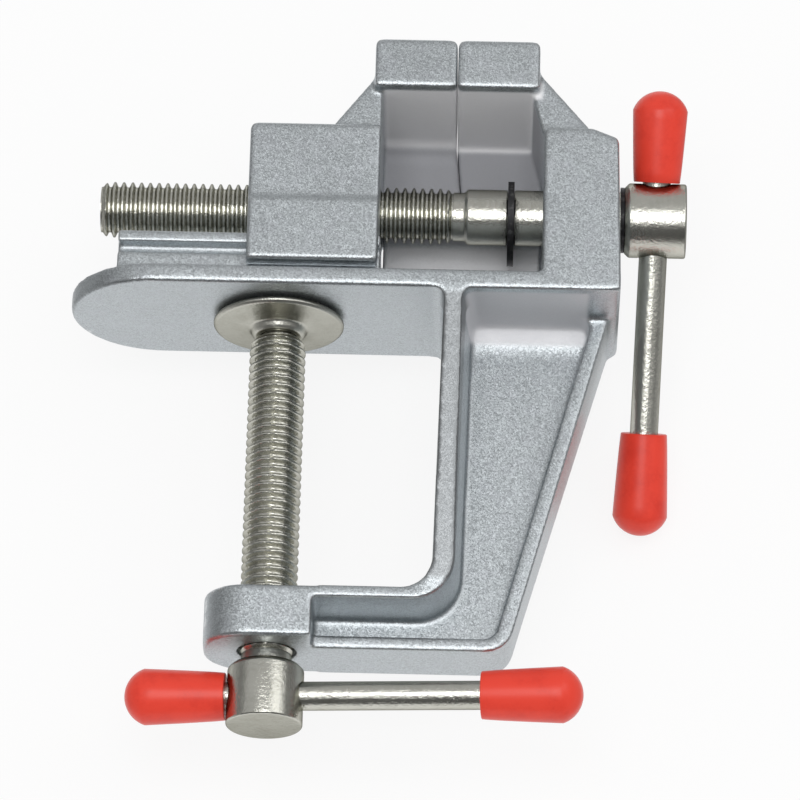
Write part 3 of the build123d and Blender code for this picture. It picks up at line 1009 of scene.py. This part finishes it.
@dataclass
class TommyBar:
    """A rod with two dipped caps, on the axis of its hole, in millimetres."""

    body: str
    spindle: Spindle
    nodes: dict[BarEnd, str]
    caps: dict[BarEnd, float]
    rod_node: str
    rod_d: float = 4.0
    long: float = 63.3
    rest: float = 5.45
    tip_wall: float = 1.6
    rod_chamfer: float = 0.4
    mouth_d: float = 6.6
    bulge_d: float = 7.8
    dome: float = 2.8
    lip: float = 0.1
    fit: float = 0.02
    swell_power: float = 0.8
    swell_steps: int = 8
    dome_steps: int = 12

    @property
    def reach(self) -> float:
        """How far the resting end lies from the screw's axis."""
        return self.rest + self.caps[BarEnd.RESTING]

    def _rod(self, material: bpy.types.Material) -> None:
        """Builds the rod with its finish."""
        radius, high = self.rod_d / 2, self.reach - self.tip_wall
        low = self.reach - self.long + self.tip_wall
        small = radius - self.rod_chamfer
        tool = Turning(self.spindle)
        tool.profile(
            [
                (low, 0.0), (low, small), (low + self.rod_chamfer, radius),
                (high - self.rod_chamfer, radius), (high, small), (high, 0.0),
            ]
        )
        piece = tool.finish(self.rod_node + "_drawn")
        dress(piece, material, self.body, self.rod_node)

    def _cap(self, end: BarEnd, material: bpy.types.Material) -> None:
        """Builds one cap with its finish.

        Args:
            end: Which end of the bar.
            material: The cap's finish.
        """
        mouth, bulge, bore = self.mouth_d / 2, self.bulge_d / 2, self.rod_d / 2 + self.fit
        long = self.caps[end]
        shoulder = long - self.dome
        inner = long - self.tip_wall + self.fit
        wall: Profile = [(inner, 0.0), (inner, bore), (self.lip, bore), (0.0, bore + self.lip)]
        wall += [(0.0, mouth - self.lip), (self.lip, mouth)]
        for step in range(1, self.swell_steps + 1):
            share = step / self.swell_steps
            swell = share**self.swell_power
            wall.append((self.lip + (shoulder - self.lip) * share, mouth + (bulge - mouth) * swell))
        ball = (bulge**2 + self.dome**2) / (2 * self.dome)
        widest = math.asin(bulge / ball)
        for step in range(self.dome_steps - 1, -1, -1):
            angle = widest * step / self.dome_steps
            wall.append((long - ball * (1 - math.cos(angle)), ball * math.sin(angle)))
        if end is BarEnd.RESTING:
            placed = [(self.rest + a, r) for a, r in wall]
        else:
            placed = [(self.reach - self.long + long - a, r) for a, r in wall]
        tool = Turning(self.spindle)
        tool.profile(placed)
        piece = tool.finish(self.nodes[end] + "_dipped")
        dress(piece, material, self.body, self.nodes[end])

    def build(self, steel: bpy.types.Material, vinyl: bpy.types.Material) -> None:
        """Builds and dresses the rod and both caps.

        Args:
            steel: The rod's finish.
            vinyl: The caps' finish.
        """
        self._rod(steel)
        for end in BarEnd:
            self._cap(end, vinyl)


@dataclass
class Trim:
    """The black clip and washer, which keep their solids."""

    nodes: tuple[str, ...] = ("retaining_clip", "thrust_washer")

    def dress(self, material: bpy.types.Material) -> None:
        """Gives the pieces their finish."""
        for name in self.nodes:
            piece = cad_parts[name]
            piece.data.materials.clear()
            piece.data.materials.append(material)
            log.info("piece %s keeps its solid", name)


@dataclass
class Studio:
    """Paper behind the vise, soft lamps and the camera, in millimetres."""

    eye: Corner = (31.57, -773.76, -343.08)
    right: Corner = (0.99963, 0.00706, 0.02631)
    up: Corner = (-0.02141, -0.39360, 0.91904)
    lens: float = 270.0
    sensor: float = 36.0
    clip_m: Pair = (0.01, 20.0)
    paper_y: float = 21.9
    paper_half: float = 700.0
    paper_near: float = 52.0
    paper_fade: float = 12.0
    paper_seen: float = 0.86
    paper_gloss: float = 0.7
    paper_white: Colour = (0.92, 0.92, 0.92)
    paper_grey: Colour = (0.4, 0.4, 0.4)
    middle_x: float = 12.0
    aim: Corner = (9.0, 0.0, -12.0)
    ambient: float = 0.62
    card_far: float = 1700.0
    card_half: float = 3000.0
    card_steps: int = 16
    side_far: float = 1400.0
    side_half: float = 1100.0

    def camera(self) -> None:
        """Stands the camera where the photograph was taken from."""
        data = bpy.data.cameras.new("camera")
        data.lens, data.sensor_width = self.lens, self.sensor
        data.clip_start, data.clip_end = self.clip_m
        eye = bpy.data.objects.new("camera", data)
        right, up = Vector(self.right).normalized(), Vector(self.up)
        back = right.cross(up).normalized()
        up = back.cross(right)
        turn = Matrix((right, up, back)).transposed().to_4x4()
        eye.matrix_world = Matrix.Translation(Vector(self.eye) * MM) @ turn
        bpy.context.scene.collection.objects.link(eye)
        bpy.context.scene.camera = eye

    def world(self) -> None:
        """Lights everything softly, and shows white to the eye, to gloss and through glass."""
        world = bpy.data.worlds.new("studio")
        bpy.context.scene.world = world
        world.use_nodes = True
        paint = Paint(world.node_tree)
        rays = paint.node("ShaderNodeLightPath", {}, {})
        seen = Value(paint, rays.outputs["Is Camera Ray"])
        seen = seen + Value(paint, rays.outputs["Is Glossy Ray"])
        seen = (seen + Value(paint, rays.outputs["Is Transmission Ray"])).band(0.0, 1.0)
        strength = self.ambient + seen * (1.0 - self.ambient)
        sky = paint.node("ShaderNodeBackground", {}, {"Color": (1, 1, 1, 1), "Strength": strength})
        paint.node("ShaderNodeOutputWorld", {}, {"Surface": sky.outputs[0]})

    def paper(self) -> None:
        """Lays the white paper behind the vise, seen from its front alone and greyer in gloss far aside."""
        half, y = self.paper_half * MM, self.paper_y * MM
        data = bpy.data.meshes.new("paper")
        corners = [(-half, y, -half), (half, y, -half), (half, y, half), (-half, y, half)]
        data.from_pydata(corners, [], [(0, 1, 2, 3)])
        sheet = bpy.data.objects.new("paper", data)
        bpy.context.scene.collection.objects.link(sheet)
        material, paint = Paint.material("paper")
        rays = paint.node("ShaderNodeLightPath", {}, {})
        gloss = Value(paint, rays.outputs["Is Glossy Ray"])
        aside = paint.value("ShaderNodeSeparateXYZ", {}, {0: paint.place()}, 0) - self.middle_x * MM
        aside = paint.value("ShaderNodeMath", {"operation": "ABSOLUTE"}, {0: aside})
        far = gloss * aside.band(self.paper_near * MM, (self.paper_near + self.paper_fade) * MM)
        seen = Value(paint, rays.outputs["Is Camera Ray"]) * self.paper_seen
        share = seen + gloss * self.paper_gloss + far * (1.0 - self.paper_gloss)
        matt = paint.node("ShaderNodeBsdfDiffuse", {}, {"Color": (*self.paper_white, 1)})
        white = paint.blend(far, (1.0, 1.0, 1.0), self.paper_grey)
        glow = paint.node("ShaderNodeEmission", {}, {"Color": white, "Strength": 1.0})
        front = paint.node("ShaderNodeMixShader", {}, {0: share, 1: matt.outputs[0], 2: glow.outputs[0]})
        clear = paint.node("ShaderNodeBsdfTransparent", {}, {})
        behind = paint.node("ShaderNodeNewGeometry", {}, {}).outputs["Backfacing"]
        both = paint.node(
            "ShaderNodeMixShader", {}, {0: behind, 1: front.outputs[0], 2: clear.outputs[0]}
        )
        paint.node("ShaderNodeOutputMaterial", {}, {"Surface": both.outputs[0]})
        data.materials.append(material)

    def card(self, name: str, bend: Bend, first: float, last: float, grey: float) -> None:
        """Bends a grey card about the studio, which shows in polished metal alone.

        Args:
            name: The card's name.
            bend: Over the front, or round a side and nearer than those.
            first: Where it starts, in degrees from the level front, up or to the right.
            last: Where it ends.
            grey: How light it is.
        """
        reach, half, steps = self.card_far * MM, self.card_half * MM, self.card_steps
        if bend is Bend.ROUND:
            reach, half = self.side_far * MM, self.side_half * MM
        corners, faces = [], []
        for step in range(steps + 1):
            swing = math.radians(first + (last - first) * step / steps)
            y, off = -reach * math.cos(swing), reach * math.sin(swing)
            for edge in (-half, half):
                corners.append((edge, y, off) if bend is Bend.OVER else (off, y, edge))
        for step in range(steps):
            faces.append((2 * step, 2 * step + 1, 2 * step + 3, 2 * step + 2))
        data = bpy.data.meshes.new(name)
        data.from_pydata(corners, [], faces)
        sheet = bpy.data.objects.new(name, data)
        bpy.context.scene.collection.objects.link(sheet)
        sheet.visible_camera = sheet.visible_diffuse = sheet.visible_shadow = False
        material, paint = Paint.material(name)
        glow = paint.node("ShaderNodeEmission", {}, {"Color": (grey, grey, grey, 1), "Strength": 1.0})
        paint.node("ShaderNodeOutputMaterial", {}, {"Surface": glow.outputs[0]})
        data.materials.append(material)

    def lamp(self, name: str, place: Corner, size: float, watts: float) -> None:
        """Hangs a soft square lamp that points at the vise.

        Args:
            name: The lamp's name.
            place: Where it hangs.
            size: Its side.
            watts: Its power.
        """
        data = bpy.data.lights.new(name, "AREA")
        data.size, data.energy = size * MM, watts
        lamp = bpy.data.objects.new(name, data)
        spot = Vector(place)
        lamp.matrix_world = (
            Matrix.Translation(spot * MM)
            @ (Vector(self.aim) - spot).to_track_quat("-Z", "Y").to_matrix().to_4x4()
        )
        bpy.context.scene.collection.objects.link(lamp)

    def build(self) -> None:
        """Sets up the whole studio."""
        self.camera()
        self.world()
        self.paper()
        self.card("upper_card", Bend.OVER, first=-36.0, last=100.0, grey=0.475)
        self.card("lower_card", Bend.OVER, first=-36.0, last=-118.0, grey=0.11)
        self.card("left_card", Bend.ROUND, first=-62.0, last=-120.0, grey=0.22)
        self.card("right_card", Bend.ROUND, first=62.0, last=120.0, grey=0.22)
        self.lamp("key", (-20, -835, -160), size=440, watts=2.15)
        self.lamp("fill", (480, -640, 120), size=460, watts=0.7)
        bpy.context.scene.view_settings.view_transform = "Standard"


def bars(jaw: JawScrew, clamp: ClampScrew) -> tuple[TommyBar, TommyBar]:
    """The two tommy bars on the axes of their holes.

    Args:
        jaw: The jaw screw.
        clamp: The clamp screw.

    Returns:
        The jaw screw's bar and the clamp screw's bar.
    """
    tilt, lean, turn = math.radians(25.6), math.radians(1.65), math.radians(4.5)
    steep = Vector((0, -math.sin(tilt), math.cos(tilt)))
    across = Vector((1, 0, 0))
    upright = Spindle(
        Vector((jaw.head_x + jaw.head.long / 2, 0, jaw.axis_z)),
        steep * math.cos(lean) + across * math.sin(lean),
        across * math.cos(lean) - steep * math.sin(lean),
    )
    level = Spindle(
        Vector((0, 0, -clamp.head_start - clamp.head.long / 2)),
        Vector((-math.cos(turn), math.sin(turn), 0)),
        Vector((0, 0, 1)),
    )
    jaw_caps = {BarEnd.RESTING: "jaw_bar_upper_cap", BarEnd.FAR: "jaw_bar_lower_cap"}
    clamp_caps = {BarEnd.RESTING: "clamp_bar_near_cap", BarEnd.FAR: "clamp_bar_far_cap"}
    jaw_long = {BarEnd.RESTING: 13.0, BarEnd.FAR: 14.6}
    clamp_long = {BarEnd.RESTING: 14.0, BarEnd.FAR: 14.0}
    return (
        TommyBar("jaw_bar", upright, jaw_caps, jaw_long, "jaw_bar_rod"),
        TommyBar("clamp_bar", level, clamp_caps, clamp_long, "clamp_bar_rod"),
    )


def main() -> None:
    """Builds the vise and its studio in order."""
    logging.basicConfig(level=logging.INFO, format="%(name)s: %(message)s")
    cast = BlastedAluminium().make()
    Casting("frame_casting", "frame").build(cast)
    Casting("moving_jaw", "moving_jaw").build(cast)

    jaw, clamp = JawScrew(), ClampScrew()
    jaw_bar, clamp_bar = bars(jaw, clamp)
    jaw_steel = BrightNickel(Marks.TURNED, tuple(jaw.spindle.axis)).make("nickel_jaw_screw")
    clamp_steel = BrightNickel(Marks.TURNED, tuple(clamp.spindle.axis)).make("nickel_clamp_screw")
    jaw.build(jaw_steel, jaw_bar.spindle)
    clamp.build(clamp_steel, clamp_bar.spindle)
    pad_steel = BrightNickel(Marks.TURNED, tuple(clamp.spindle.axis), gloss=0.26).make("nickel_pad")
    SwivelPad().build(pad_steel, clamp.spindle)

    vinyl = DippedVinyl().make()
    for bar, name in ((jaw_bar, "nickel_jaw_bar"), (clamp_bar, "nickel_clamp_bar")):
        drawn = BrightNickel(Marks.DRAWN, tuple(bar.spindle.axis), gloss=0.17, pitting=1.0)
        bar.build(drawn.make(name), vinyl)
    Trim().dress(BlackOxide().make())
    Studio().build()


if __name__ == "__main__":
    main()
